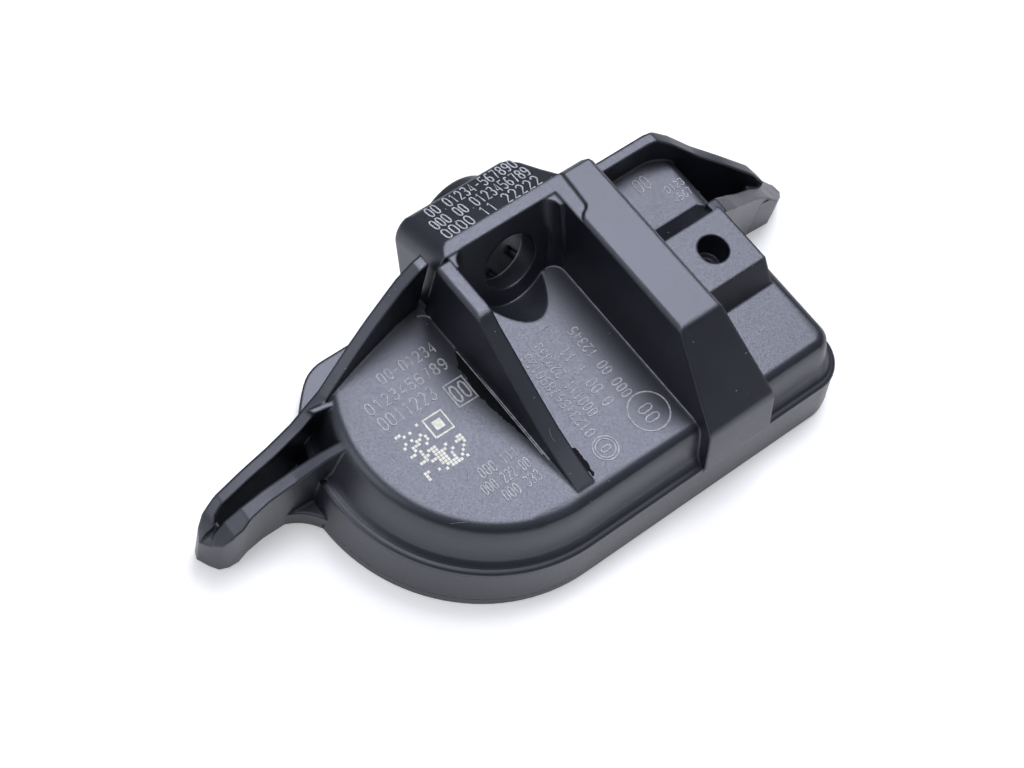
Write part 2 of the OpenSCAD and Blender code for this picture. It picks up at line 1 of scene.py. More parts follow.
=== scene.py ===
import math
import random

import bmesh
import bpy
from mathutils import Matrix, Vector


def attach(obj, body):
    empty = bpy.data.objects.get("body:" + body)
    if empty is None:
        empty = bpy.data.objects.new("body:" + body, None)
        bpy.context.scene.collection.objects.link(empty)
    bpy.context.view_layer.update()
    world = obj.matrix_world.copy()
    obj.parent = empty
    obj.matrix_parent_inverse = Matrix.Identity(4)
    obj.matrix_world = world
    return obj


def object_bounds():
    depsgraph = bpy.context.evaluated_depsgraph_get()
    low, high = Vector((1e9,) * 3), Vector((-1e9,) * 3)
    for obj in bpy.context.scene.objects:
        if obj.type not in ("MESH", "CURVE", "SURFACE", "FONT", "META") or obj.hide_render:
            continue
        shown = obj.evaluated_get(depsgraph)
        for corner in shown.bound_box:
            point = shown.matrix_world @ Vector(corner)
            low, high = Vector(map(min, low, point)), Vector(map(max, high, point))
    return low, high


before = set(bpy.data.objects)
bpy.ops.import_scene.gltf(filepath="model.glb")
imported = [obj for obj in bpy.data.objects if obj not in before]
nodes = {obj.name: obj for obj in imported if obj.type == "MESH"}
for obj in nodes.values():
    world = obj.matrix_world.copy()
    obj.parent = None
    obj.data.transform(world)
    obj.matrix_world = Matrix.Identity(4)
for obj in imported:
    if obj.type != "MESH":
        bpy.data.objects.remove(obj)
cad_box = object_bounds()

# %% [markdown]
# This lesson dresses a tyre pressure sensor: one black moulded case with a base cover,
# laser marks on its decks, and the small flaws that moulding leaves. The case and the parts
# inside come from the frame, so the work here is finish, light and fine surface detail.
# Every size of the part is written in millimetres and turned to metres by one factor, and
# only the studio round it is in metres.

MM = 0.001


def linear(hex_colour):
    """An sRGB hex colour as the opaque linear colour that a shader takes."""
    channels = [int(hex_colour[i:i + 2], 16) / 255 for i in (1, 3, 5)]
    return [c / 12.92 if c <= 0.04045 else ((c + 0.055) / 1.055) ** 2.4 for c in channels] + [1.0]


low, high = [Vector(corner) / MM for corner in cad_box]
print(f"the frame is {high.x - low.x:.2f} by {high.y - low.y:.2f} by {high.z - low.z:.2f} mm")

# %% [markdown]
# The camera comes first, because the amount of fine detail depends on how large the part
# stands in the picture. The photograph looks down at about sixty degrees from the front
# left, through a long lens, so nearly parallel edges stay parallel.

# %% Camera
LENS_MM = 87.89
SENSOR_MM = 36
CAMERA_MM = Vector((-74.87, -49.35, 156.39))
TARGET_MM = Vector((-0.30, 1.74, 0.0))
ROLL_DEG = 19.04


def add_camera():
    data = bpy.data.cameras.new("studio_camera")
    data.lens = LENS_MM
    data.sensor_width = SENSOR_MM
    data.clip_start = 0.01
    camera = bpy.data.objects.new("studio_camera", data)
    bpy.context.scene.collection.objects.link(camera)
    camera.location = CAMERA_MM * MM
    look = (TARGET_MM - CAMERA_MM).to_track_quat("-Z", "Y").to_matrix()
    roll = Matrix.Rotation(math.radians(ROLL_DEG), 3, "Z")
    camera.rotation_euler = (look @ roll).to_euler()
    bpy.context.scene.camera = camera


add_camera()
print(f"camera {(TARGET_MM - CAMERA_MM).length:.0f} mm away with a {LENS_MM} mm lens")

# %% [markdown]
# A material is a small graph of nodes. One helper adds a node, fills its settings and
# sockets, and links what is linked, so that each finish below reads as a list of layers.

# %% A helper that adds one node


def add_node(material, kind, sockets=None, **settings):
    """Adds a node. A socket value that is itself a socket becomes a link."""
    tree = material.node_tree
    node = tree.nodes.new(kind)
    for name, value in settings.items():
        setattr(node, name, value)
    for name, value in (sockets or {}).items():
        if isinstance(value, bpy.types.NodeSocket):
            tree.links.new(value, node.inputs[name])
        else:
            node.inputs[name].default_value = value
    return node


def new_material(name):
    """A material without nodes, to be filled one by one."""
    material = bpy.data.materials.new(name)
    material.use_nodes = True
    material.node_tree.nodes.clear()
    return material


def finish_material(material, shader):
    add_node(material, "ShaderNodeOutputMaterial", {"Surface": shader.outputs[0]})
    return material


def object_metres(material):
    """Object coordinates, which lie in the part's own frame, in metres."""
    return add_node(material, "ShaderNodeTexCoord").outputs["Object"]


def noise(material, size_mm, detail=3.0, roughness=0.6):
    """Noise whose blotches are about size_mm across."""
    return add_node(material, "ShaderNodeTexNoise",
                    {"Vector": object_metres(material), "Scale": 1 / (size_mm * MM),
                     "Detail": detail, "Roughness": roughness}).outputs["Fac"]


# %% [markdown]
# The case is polyamide filled with short glass fibre. The mould is spark eroded, so the
# skin has a fine grain a tenth of a millimetre across, and fibres near the skin show as
# faint paler flecks. Black pigment leaves almost no diffuse light: what the eye sees is
# the sheen of the lamp on faces that lie flat, and near black on faces that slope.

# %% Glass-filled polyamide
GRAIN_MM = 0.1
FLECK_MM = 0.22
CLOUD_MM = 5.0


def glass_filled_polyamide(name, dark, pale, roughness, edge_mm):
    material = new_material(name)
    cloud = noise(material, CLOUD_MM, 2.0)
    flecks = noise(material, FLECK_MM, 4.0, 0.7)
    grain = noise(material, GRAIN_MM, 2.0)
    fleck_mask = add_node(material, "ShaderNodeMapRange", {
        "Value": flecks, "From Min": 0.58, "From Max": 0.8, "To Min": 0.0, "To Max": 0.7})
    cloud_mask = add_node(material, "ShaderNodeMapRange", {
        "Value": cloud, "From Min": 0.35, "From Max": 0.7, "To Min": 0.0, "To Max": 0.25})
    mask = add_node(material, "ShaderNodeMath", {
        0: fleck_mask.outputs[0], 1: cloud_mask.outputs[0]}, operation="MAXIMUM")
    colour = add_node(material, "ShaderNodeMix", {
        "Factor": mask.outputs[0], "A": linear(dark), "B": linear(pale)}, data_type="RGBA")
    rough = add_node(material, "ShaderNodeMapRange", {
        "Value": grain, "From Min": 0.3, "From Max": 0.7,
        "To Min": roughness - 0.05, "To Max": roughness + 0.07})
    soft_edge = add_node(material, "ShaderNodeBevel", {"Radius": edge_mm * MM}, samples=8)
    fine = add_node(material, "ShaderNodeBump", {
        "Height": grain, "Strength": 0.3, "Distance": 0.008 * MM, "Normal": soft_edge.outputs[0]})
    skin = add_node(material, "ShaderNodeBump", {
        "Height": flecks, "Strength": 0.25, "Distance": 0.016 * MM, "Normal": fine.outputs[0]})
    shader = add_node(material, "ShaderNodeBsdfPrincipled", {
        "Base Color": colour.outputs["Result"], "Roughness": rough.outputs[0],
        "IOR": 1.75, "Normal": skin.outputs[0], "Specular Tint": linear("#f0f2ff")})
    return finish_material(material, shader)


case_plastic = glass_filled_polyamide(
    "glass_filled_polyamide_black", "#14161d", "#2b2e39", roughness=0.38, edge_mm=0.3)
cover_plastic = glass_filled_polyamide(
    "glass_filled_polyamide_cover", "#12141a", "#25272f", roughness=0.42, edge_mm=0.15)
print("case plastic: grain", GRAIN_MM, "mm, flecks", FLECK_MM, "mm")

# %% [markdown]
# A laser writes on black polyamide by foaming its skin, which turns it a pale grey.
# The dense square code is foamed twice and comes out nearly white. Flash is a fin so thin
# that its rough edge looks paler than the case. A rough, darker plastic paints the shade
# beside the rib's foot, and the same plastic makes two torn chips.

# %% Laser foam, flash and painted shade


def plain_plastic(name, base, roughness, ior, blotch, blotch_mm):
    """Plastic of one colour with a second colour in small blotches."""
    material = new_material(name)
    mask = add_node(material, "ShaderNodeMapRange", {
        "Value": noise(material, blotch_mm, 3.0), "From Min": 0.4, "From Max": 0.65})
    colour = add_node(material, "ShaderNodeMix", {
        "Factor": mask.outputs[0], "A": linear(base), "B": linear(blotch)}, data_type="RGBA")
    bump = add_node(material, "ShaderNodeBump", {
        "Height": mask.outputs[0], "Strength": 0.3, "Distance": 0.01 * MM})
    shader = add_node(material, "ShaderNodeBsdfPrincipled", {
        "Base Color": colour.outputs["Result"], "Roughness": roughness, "IOR": ior,
        "Normal": bump.outputs[0]})
    return finish_material(material, shader)


laser_grey = plain_plastic("laser_foamed_polyamide_grey", "#c2c2c8", 0.8, 1.45, "#9a9aa2", 0.25)
laser_white = plain_plastic("laser_foamed_polyamide_white", "#f4f3ea", 0.85, 1.45, "#d8d6c6", 0.3)
flash_skin = plain_plastic("moulding_flash_polyamide", "#8d8e98", 0.5, 1.58, "#b9bac2", 0.5)
# rough near-black plastic: painted shade beside the rib's foot, and the two torn chips
painted_shade_and_chip_skin = plain_plastic("painted_shade_and_chip_polyamide", "#07080b", 0.75, 1.25, "#17181d", 0.12)
dust_grey = plain_plastic("dust_speck_grey", "#8f9098", 0.9, 1.45, "#6c6d74", 0.1)

# %% [markdown]
# The parts inside are never seen from outside, yet each gets the finish of the real piece,
# because someone may take the cover off. Metals share one recipe: a tint, a roughness and
# faint drawing lines; the rest are plain mouldings, ceramics and silicone.

# %% Finishes of the parts inside


def plated_metal(name, tint, roughness, line_mm):
    """Rolled or drawn metal with fine lines along X."""
    material = new_material(name)
    stretched = add_node(material, "ShaderNodeMapping", {
        "Vector": object_metres(material), "Scale": (0.1, 1.0, 1.0)})
    lines = add_node(material, "ShaderNodeTexNoise", {
        "Vector": stretched.outputs[0], "Scale": 1 / (line_mm * MM), "Detail": 3.0})
    rough = add_node(material, "ShaderNodeMapRange", {
        "Value": lines.outputs["Fac"], "To Min": roughness - 0.07, "To Max": roughness + 0.07})
    bump = add_node(material, "ShaderNodeBump", {
        "Height": lines.outputs["Fac"], "Strength": 0.2, "Distance": 0.005 * MM})
    shader = add_node(material, "ShaderNodeBsdfPrincipled", {
        "Base Color": linear(tint), "Metallic": 1.0, "Roughness": rough.outputs[0],
        "Normal": bump.outputs[0]})
    return finish_material(material, shader)


def silicone_gel(name):
    material = new_material(name)
    shader = add_node(material, "ShaderNodeBsdfPrincipled", {
        "Base Color": linear("#dfe4ea"), "Roughness": 0.15, "IOR": 1.41,
        "Transmission Weight": 0.7})
    return finish_material(material, shader)


nickel = plated_metal("nickel_plated_steel", "#c9cbcf", 0.28, 0.15)
tin = plated_metal("matte_tin_plate", "#cfcfcb", 0.4, 0.1)
brass = plated_metal("stamped_brass_strip", "#c9a45c", 0.32, 0.2)
copper = plated_metal("enamelled_copper_wire", "#b5633a", 0.3, 0.08)
gold = plated_metal("gold_flashed_copper_pad", "#c89b4e", 0.35, 0.1)
solder_mask = plain_plastic("green_solder_mask", "#123f27", 0.35, 1.52, "#17492e", 0.8)
epoxy = plain_plastic("moulded_epoxy_package", "#1c1c1f", 0.5, 1.55, "#26262a", 0.15)
ferrite = plain_plastic("sintered_ferrite", "#2c2c30", 0.6, 1.9, "#3a3a3f", 0.12)
alumina = plain_plastic("fired_alumina", "#d6d0c2", 0.45, 1.7, "#c7c0b0", 0.2)
titanate = plain_plastic("barium_titanate_ceramic", "#9c8262", 0.45, 1.8, "#8b7356", 0.2)
rubber = plain_plastic("silicone_rubber_grey", "#34332f", 0.7, 1.41, "#3d3c38", 0.3)
bead = plain_plastic("cured_sealing_bead", "#26262a", 0.55, 1.45, "#303036", 0.4)
gasket = plain_plastic("polypropylene_gasket", "#3b3b40", 0.5, 1.49, "#44444a", 0.3)

node_finish = {
    "housing": case_plastic, "base_cover": cover_plastic, "cover_seal": bead,
    "circuit_board": solder_mask, "board_pads": gold, "cell_can": nickel, "cell_gasket": gasket,
    "cell_cap": nickel, "positive_tab": tin, "negative_tab": tin, "sensor_chip": epoxy,
    "sensor_pads": gold, "sensor_lid": nickel, "sensor_gel": silicone_gel("silicone_gel_clear"),
    "port_seal": rubber, "coil_core": ferrite, "coil_winding": copper, "coil_ends": tin,
    "crystal_base": alumina, "crystal_lid": nickel, "antenna": brass, "capacitors": titanate,
    "resistors": epoxy, "inductors": ferrite,
}
for node_name, finish in node_finish.items():
    nodes[node_name].data.materials.clear()
    nodes[node_name].data.materials.append(finish)
print(len(node_finish), "pieces of the frame have their finish")

# %% [markdown]
# The frame comes as facets, and the wing walls are drawn from short straight runs. On the
# real case those runs are one smooth sweep. A small geometry node tree joins the facets and
# shades them as one surface wherever two faces meet at a shallow angle. Normals weighted by
# area then keep the large level faces flat and let the narrow ones between them turn.

# %% Smooth sweeps
SWEEP_ANGLE_DEG = 20
# how far larger faces outweigh smaller ones, where 50 is even
LEVEL_WEIGHT = 80


def smooth_sweeps(piece):
    tree = bpy.data.node_groups.new("smooth_sweeps", "GeometryNodeTree")
    tree.interface.new_socket("Geometry", in_out="INPUT", socket_type="NodeSocketGeometry")
    tree.interface.new_socket("Geometry", in_out="OUTPUT", socket_type="NodeSocketGeometry")
    start = tree.nodes.new("NodeGroupInput")
    end = tree.nodes.new("NodeGroupOutput")
    clear = tree.nodes.new("GeometryNodeRemoveAttribute")
    clear.inputs["Name"].default_value = "custom_normal"
    weld = tree.nodes.new("GeometryNodeMergeByDistance")
    weld.inputs["Distance"].default_value = 0.001 * MM
    faces = tree.nodes.new("GeometryNodeSetShadeSmooth")
    faces.inputs["Shade Smooth"].default_value = True
    angle = tree.nodes.new("GeometryNodeInputMeshEdgeAngle")
    sharp = tree.nodes.new("FunctionNodeCompare")
    sharp.operation = "GREATER_THAN"
    sharp.inputs["B"].default_value = math.radians(SWEEP_ANGLE_DEG)
    edges = tree.nodes.new("GeometryNodeSetShadeSmooth")
    edges.domain = "EDGE"
    edges.inputs["Shade Smooth"].default_value = False
    chain = [start, clear, weld, faces, edges, end]
    for left, right in zip(chain, chain[1:]):
        tree.links.new(left.outputs[0], right.inputs[0])
    tree.links.new(angle.outputs["Unsigned Angle"], sharp.inputs["A"])
    tree.links.new(sharp.outputs[0], edges.inputs["Selection"])
    piece.modifiers.new("smooth_sweeps", "NODES").node_group = tree
    weighted = piece.modifiers.new("level_faces", "WEIGHTED_NORMAL")
    weighted.mode = "FACE_AREA"
    weighted.weight = LEVEL_WEIGHT
    weighted.keep_sharp = True


for node_name in ("housing", "base_cover"):
    smooth_sweeps(nodes[node_name])
print("facets under", SWEEP_ANGLE_DEG, "degrees are shaded as sweeps")

# %% [markdown]
# Two planes of the case carry marks. One is level, and the label deck, the pocket floor and
# the tray floor lie in it. The other is the top of the head, which leans back toward the
# valve. Each mark is drawn flat and then laid on its plane.

# %% Planes that carry marks
DECK_Z = 7.75
HEAD_Z = 13.55
HEAD_EDGE_Y = 8.40
VALVE_TILT_DEG = 21.5
# marks stand this much proud, as foamed plastic does
FOAM_MM = 0.015


def on_deck(x, y):
    """A frame on a level face: X along the text, Z out of the face."""
    return Matrix.Translation((x, y, DECK_Z + FOAM_MM))


def up_the_pocket(x, y):
    """The same frame turned a quarter, for text that runs toward the head."""
    return on_deck(x, y) @ Matrix.Rotation(math.radians(90), 4, "Z")


def on_head(x, y):
    """A frame on the leaning face of the head, y measured in the frame of the part."""
    z = HEAD_Z - (y - HEAD_EDGE_Y) * math.tan(math.radians(VALVE_TILT_DEG))
    lean = Matrix.Rotation(math.radians(-VALVE_TILT_DEG), 4, "X")
    return Matrix.Translation((x, y, z)) @ lean @ Matrix.Translation((0, 0, FOAM_MM))


# %% [markdown]
# The laser draws each figure as one thin line, so the figures here are polylines on a grid
# one wide and two high, thickened to the width of the spot. They are plain numbers that
# mean nothing, in the places where the real part carries its marking.

# %% Single-line figures
STROKES = {
    "0": [[(0.3, 0), (0, 0.4), (0, 1.6), (0.3, 2), (0.7, 2), (1, 1.6), (1, 0.4), (0.7, 0),
           (0.3, 0)]],
    "1": [[(0.2, 1.6), (0.6, 2), (0.6, 0)]],
    "2": [[(0, 1.6), (0.3, 2), (0.7, 2), (1, 1.6), (1, 1.2), (0, 0), (1, 0)]],
    "3": [[(0, 1.8), (0.3, 2), (0.8, 2), (1, 1.6), (0.8, 1.1), (0.4, 1.1)],
          [(0.8, 1.1), (1, 0.7), (1, 0.4), (0.7, 0), (0.3, 0), (0, 0.3)]],
    "4": [[(0.8, 0), (0.8, 2), (0, 0.6), (1, 0.6)]],
    "5": [[(1, 2), (0.1, 2), (0, 1.1), (0.6, 1.2), (1, 0.9), (1, 0.4), (0.7, 0), (0.3, 0),
           (0, 0.3)]],
    "6": [[(0.9, 1.8), (0.6, 2), (0.3, 1.9), (0, 1.2), (0, 0.4), (0.3, 0), (0.7, 0), (1, 0.4),
           (1, 0.8), (0.7, 1.1), (0.3, 1.1), (0, 0.8)]],
    "7": [[(0, 2), (1, 2), (0.4, 0)]],
    "8": [[(0.3, 1.1), (0, 0.8), (0, 0.3), (0.3, 0), (0.7, 0), (1, 0.3), (1, 0.8), (0.7, 1.1),
           (0.3, 1.1), (0.05, 1.4), (0.05, 1.7), (0.3, 2), (0.7, 2), (0.95, 1.7), (0.95, 1.4),
           (0.7, 1.1)]],
    "9": [[(0.1, 0.2), (0.4, 0), (0.7, 0.1), (1, 0.8), (1, 1.6), (0.7, 2), (0.3, 2), (0, 1.6),
           (0, 1.2), (0.3, 0.9), (0.7, 0.9), (1, 1.2)]],
    "-": [[(0.1, 1), (0.9, 1)]],
    ".": [[(0.45, 0), (0.55, 0)]],
}
SPOT_MM = 0.13
# share of the pitch that a figure fills; the rest is the gap to the next one
FIGURE_SHARE = 0.6084
# share of its height that a line keeps when it is pressed onto its plane
PRESSED_SHARE = 0.2


def line_of_figures(text, height, place, length):
    """Polylines of one row of figures, spread over a length, on the plane given by place."""
    pitch = length / len(text)
    width = pitch * FIGURE_SHARE
    return [[place @ Vector((i * pitch + u * width, v * height / 2, 0)) for u, v in stroke]
            for i, figure in enumerate(text) for stroke in STROKES.get(figure, [])]


def ride_case(name, data, material):
    """Gives a mesh its material and puts it on the case as a piece of its own."""
    data.materials.clear()
    data.materials.append(material)
    piece = bpy.data.objects.new(name, data)
    bpy.context.scene.collection.objects.link(piece)
    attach(piece, "root")
    return piece


def flatten(mesh, place):
    """Presses a mesh flat onto the plane that place gives."""
    to_metres = Matrix.Diagonal((MM, MM, MM, 1))
    frame_of_plane = to_metres @ place @ to_metres.inverted()
    squash = Matrix.Diagonal((1, 1, PRESSED_SHARE, 1))
    mesh.transform(frame_of_plane @ squash @ frame_of_plane.inverted())


def ribbon(name, lines, width_mm, material, flat=None):
    """Lines in millimetres as one piece of thin round ribs, pressed flat if a plane is given."""
    data = bpy.data.curves.new(name, "CURVE")
    data.dimensions = "3D"
    data.bevel_depth = width_mm / 2 * MM
    data.bevel_resolution = 1
    data.use_fill_caps = True
    for line in lines:
        spline = data.splines.new("POLY")
        spline.points.add(len(line) - 1)
        for point, place in zip(spline.points, line):
            point.co = (*(place * MM), 1)
    curve = bpy.data.objects.new(name + "_curve", data)
    bpy.context.scene.collection.objects.link(curve)
    evaluated = curve.evaluated_get(bpy.context.evaluated_depsgraph_get())
    mesh = bpy.data.meshes.new_from_object(evaluated)
    bpy.data.objects.remove(curve)
    mesh.name = name
    if flat is not None:
        flatten(mesh, flat)
    return ride_case(name, mesh, material)


print(len(STROKES), "figures in the laser's alphabet")

# %% Rows of figures on the deck, the pocket floor, the head and the tray
# each row: text, x and y of its start, height, length
figure_rows = {
    "deck": [
        ("00-01234", -11.45, 4.15, 0.82, 4.95),
        ("0123456789", -13.60, 2.68, 0.86, 7.05),
        ("0011223", -13.50, 1.22, 1.02, 4.85),
        ("000 111", -10.15, -5.35, 0.80, 3.30),
        ("000 222 00", -10.75, -6.45, 0.80, 4.10),
        ("000 333", -9.80, -7.60, 0.80, 3.20),
    ],
    "pocket": [
        ("01234567890123", -1.50, -6.95, 0.80, 7.55),
        ("000111 222333", -0.28, -5.80, 0.84, 6.60),
        ("0.00 1.11", 1.18, -5.75, 0.90, 5.25),
        ("000 00 12345", 2.65, -6.00, 0.80, 6.45),
    ],
    "head": [
        ("00.01234-567890", -2.75, 10.86, 0.98, 7.90),
        ("000 00.0123456789", -3.30, 9.66, 1.02, 8.60),
        ("0000 11 22222", -3.30, 8.50, 1.00, 8.60),
    ],
    "tray": [
        ("00", 13.75, 6.15, 1.1, 1.4),
        ("0123", 15.5, 5.0, 0.6, 1.75),
        ("4567", 15.5, 4.05, 0.6, 1.75),
    ],
}
row_plane = {"deck": on_deck, "pocket": up_the_pocket, "head": on_head, "tray": on_deck}
# the tray has the smallest figures, so its lines are thinner
row_spot_mm = {"deck": SPOT_MM, "pocket": SPOT_MM, "head": SPOT_MM, "tray": SPOT_MM * 0.8}


def add_rows():
    made = []
    for area, area_rows in figure_rows.items():
        for i, (text, x, y, height, length) in enumerate(area_rows):
            place = row_plane[area](x, y)
            lines = line_of_figures(text, height, place, length)
            made.append(ribbon(f"{area}_figures_{i + 1}", lines, row_spot_mm[area], laser_grey,
                               flat=place))
    return made


rows = add_rows()
print(len(rows), "rows of figures")

# %% [markdown]
# Beside the rows the laser draws rings, a framed number and a square code. The code has a
# square finder and dots on a quarter-millimetre grid. The dots are thrown by a seeded
# random draw, so they look like a code and say nothing.

# %% Rings and framed number
RING_STEPS = 40
# ring name, centre, radii, name of its figures, their start, text, height, length
ring_marks = [
    ("pocket_ring", (2.65, -7.80), [1.53],
     "pocket_ring_figures", (3.1, -8.55), "00", 1.1, 1.6),
    ("pocket_small_ring", (-1.72, -8.28), [0.92, 0.72],
     "pocket_small_figure", (-1.37, -8.5), "0", 0.75, 0.6),
]
FRAME_START, FRAME_WIDTH, FRAME_HEIGHT = (-8.15, -0.2), 1.6, 1.9
FRAMED_START, FRAMED_HEIGHT, FRAMED_LENGTH = (-7.95, 0.1), 1.3, 1.5
FRAMED_SPOT_MM = SPOT_MM * 1.3


def ring_line(centre, radius):
    turns = [2 * math.pi * i / RING_STEPS for i in range(RING_STEPS + 1)]
    return [centre @ Vector((radius * math.cos(turn), radius * math.sin(turn), 0))
            for turn in turns]


def frame_line(place, width, height):
    return [place @ Vector((x, y, 0)) for x, y in
            [(0, 0), (width, 0), (width, height), (0, height), (0, 0)]]


for name, centre, radii, figures_name, start, text, height, length in ring_marks:
    place = on_deck(*centre)
    ribbon(name, [ring_line(place, radius) for radius in radii], SPOT_MM, laser_grey, flat=place)
    place = up_the_pocket(*start)
    lines = line_of_figures(text, height, place, length)
    ribbon(figures_name, lines, SPOT_MM, laser_grey, flat=place)
frame_place = on_deck(*FRAME_START)
framed_lines = [frame_line(frame_place, FRAME_WIDTH, FRAME_HEIGHT)]
framed_lines += line_of_figures("00", FRAMED_HEIGHT, on_deck(*FRAMED_START), FRAMED_LENGTH)
ribbon("deck_framed_number", framed_lines, FRAMED_SPOT_MM, laser_grey, flat=frame_place)
print(len(ring_marks), "ring marks and a framed number")

# %% Square code
CODE_SEED = 16
CODE_MODULE_MM = 0.25
DOT_MM = 0.21
DOT_CHANCE = 0.4
CODE_LEFT, CODE_BOTTOM = -13.3, -3.45
CODE_CELLS = 16
FINDER_CELLS = 8
FINDER_LEFT, FINDER_BOTTOM, FINDER_SIDE = -11.03, -1.24, 1.75
FINDER_LINE_MM = 0.2
CORE_INSET, CORE_SIDE = 0.52, 0.72
SLAB_MM = 0.02


def piece_from(name, mesh, material):
    """Turns a bmesh in metres into a piece on the case."""
    data = bpy.data.meshes.new(name)
    mesh.to_mesh(data)
    mesh.free()
    return ride_case(name, data, material)


def slab(name, boxes, material):
    """Thin boxes (x, y, width, depth) on the label deck as one piece."""
    mesh = bmesh.new()
    for x, y, width, depth in boxes:
        verts = bmesh.ops.create_cube(mesh, size=1.0)["verts"]
        bmesh.ops.scale(mesh, vec=(width * MM, depth * MM, SLAB_MM * MM), verts=verts)
        centre = Vector((x + width / 2, y + depth / 2, DECK_Z))
        bmesh.ops.translate(mesh, verts=verts, vec=centre * MM)
    return piece_from(name, mesh, material)


def dots_of_code():
    draw = random.Random(CODE_SEED)
    half = CODE_CELLS - FINDER_CELLS
    dots = []
    for row in range(CODE_CELLS):
        for column in range(CODE_CELLS):
            under_finder = row >= half - 1 and column >= half
            if under_finder or draw.random() > DOT_CHANCE:
                continue
            dots.append((CODE_LEFT + column * CODE_MODULE_MM, CODE_BOTTOM + row * CODE_MODULE_MM,
                         DOT_MM, DOT_MM))
    return dots


finder = on_deck(FINDER_LEFT + FINDER_LINE_MM / 2, FINDER_BOTTOM + FINDER_LINE_MM / 2)
finder_inner = FINDER_SIDE - FINDER_LINE_MM
ribbon("code_finder_frame", [frame_line(finder, finder_inner, finder_inner)], FINDER_LINE_MM,
       laser_white, flat=finder)
core = (FINDER_LEFT + CORE_INSET, FINDER_BOTTOM + CORE_INSET, CORE_SIDE, CORE_SIDE)
slab("code_finder_core", [core], laser_white)
code = slab("code_dots", dots_of_code(), laser_white)
print(len(code.data.polygons) // 6, "dots in the code")

# %% [markdown]
# Low on the case the wall turns outward into a shoulder that lies almost flat, and the lamp
# draws a thin bright line along it. The frame carries the wall as straight runs, so the
# shoulder is laid over it here as one swept bead: round the cell chamber, along the front
# and round the right corner. It is a section of a few points moved out by a distance.

# %% The shoulder that runs round the case
CELL_X, CELL_Y = -5.525, 0.14182
DOME_R = 10.3
FRONT_Y = CELL_Y - DOME_R
RIGHT_X = 17.075
CORNER_R = 0.6
SHOULDER_Z = 4.05
FLARE = 2.3
# where the bead comes out from under the wing, and where it ends on the right side
SHOULDER_START_DEG = 172
SHOULDER_END_Y = 0.5
CHAMBER_STEPS = 64
CORNER_STEPS = 12
shoulder_section = [(FLARE - 0.88, SHOULDER_Z + 0.62), (FLARE - 0.74, SHOULDER_Z + 0.38),
                    (FLARE - 0.6, SHOULDER_Z + 0.22), (FLARE - 0.42, SHOULDER_Z + 0.13),
                    (FLARE - 0.22, SHOULDER_Z + 0.1), (FLARE - 0.07, SHOULDER_Z + 0.07),
                    (FLARE + 0.02, SHOULDER_Z), (FLARE + 0.05, SHOULDER_Z - 0.14),
                    (FLARE + 0.02, SHOULDER_Z - 0.4),
                    (FLARE - 0.6, SHOULDER_Z - 0.2), (FLARE - 1.2, SHOULDER_Z + 0.3)]


def shoulder_stations():
    """Places along the deck edge as (centre x, centre y, radius, direction out)."""
    corner_x, corner_y = RIGHT_X - CORNER_R, FRONT_Y + CORNER_R
    rounds = [(CELL_X, CELL_Y, DOME_R, SHOULDER_START_DEG, 270, CHAMBER_STEPS),
              (corner_x, corner_y, CORNER_R, 270, 360, CORNER_STEPS)]
    stations = []
    for x, y, radius, start_deg, end_deg, steps in rounds:
        for i in range(steps + 1):
            turn = math.radians(start_deg + (end_deg - start_deg) * i / steps)
            stations.append((x, y, radius, math.cos(turn), math.sin(turn)))
    stations.append((corner_x, SHOULDER_END_Y, CORNER_R, 1.0, 0.0))
    return stations


def sweep_shoulder(name, section, stations, material):
    mesh = bmesh.new()
    rings = []
    for x, y, radius, ox, oy in stations:
        rings.append([mesh.verts.new(Vector((x + (radius + d) * ox, y + (radius + d) * oy, z)) * MM)
                      for d, z in section])
    count = len(section)
    for before, after in zip(rings, rings[1:]):
        for i in range(count):
            j = (i + 1) % count
            mesh.faces.new((before[i], before[j], after[j], after[i])).smooth = True
    mesh.faces.new(rings[0][::-1])
    mesh.faces.new(rings[-1])
    bmesh.ops.recalc_face_normals(mesh, faces=mesh.faces)
    return piece_from(name, mesh, material)


shoulder = sweep_shoulder("case_shoulder", shoulder_section, shoulder_stations(), case_plastic)
print(len(shoulder.data.polygons), "faces in the shoulder")

# %% [markdown]
# Where two halves of a mould tool meet, plastic creeps in and leaves a thin fin called
# flash. Here it runs along the left foot of the rib and along the foot of the rail. Beside
# the rib's foot a ragged dark strip is painted shade.

# %% Flash lines
RAIL_FOOT_X = 4.895
ARC_STEPS = 6


def on_floor(points):
    return [Vector((x, y, DECK_Z)) for x, y in points]


def arc(cx, cy, radius, start_deg, end_deg):
    turns = [math.radians(start_deg + (end_deg - start_deg) * i / ARC_STEPS)
             for i in range(ARC_STEPS + 1)]
    return on_floor([(cx + radius * math.cos(turn), cy + radius * math.sin(turn))
                     for turn in turns])


rib_foot = on_floor([(-5.40, 3.7), (-5.42, 1.6), (-5.48, -1.0), (-5.48, -3.6), (-5.52, -6.8)])
rib_foot_low = on_floor([(-5.62, 3.4), (-5.62, 0.5), (-5.64, -2.4), (-5.66, -6.2)])
rail_foot = on_floor([(RAIL_FOOT_X - 0.02, y) for y in (2, -3, -8, -10.0)])
# name, line, width
flash_lines = [
    ("rib_flash", arc(-6.35, 6.1, 0.95, 85, 5) + rib_foot, 0.17),
    ("rib_flash_low", rib_foot_low, 0.09),
    ("rail_flash", arc(3.95, 4.15, 0.93, 100, 2) + rail_foot, 0.07),
]
for name, line, width_mm in flash_lines:
    ribbon(name, [line], width_mm, flash_skin)
print(len(flash_lines), "flash lines run along the rib and the rail")
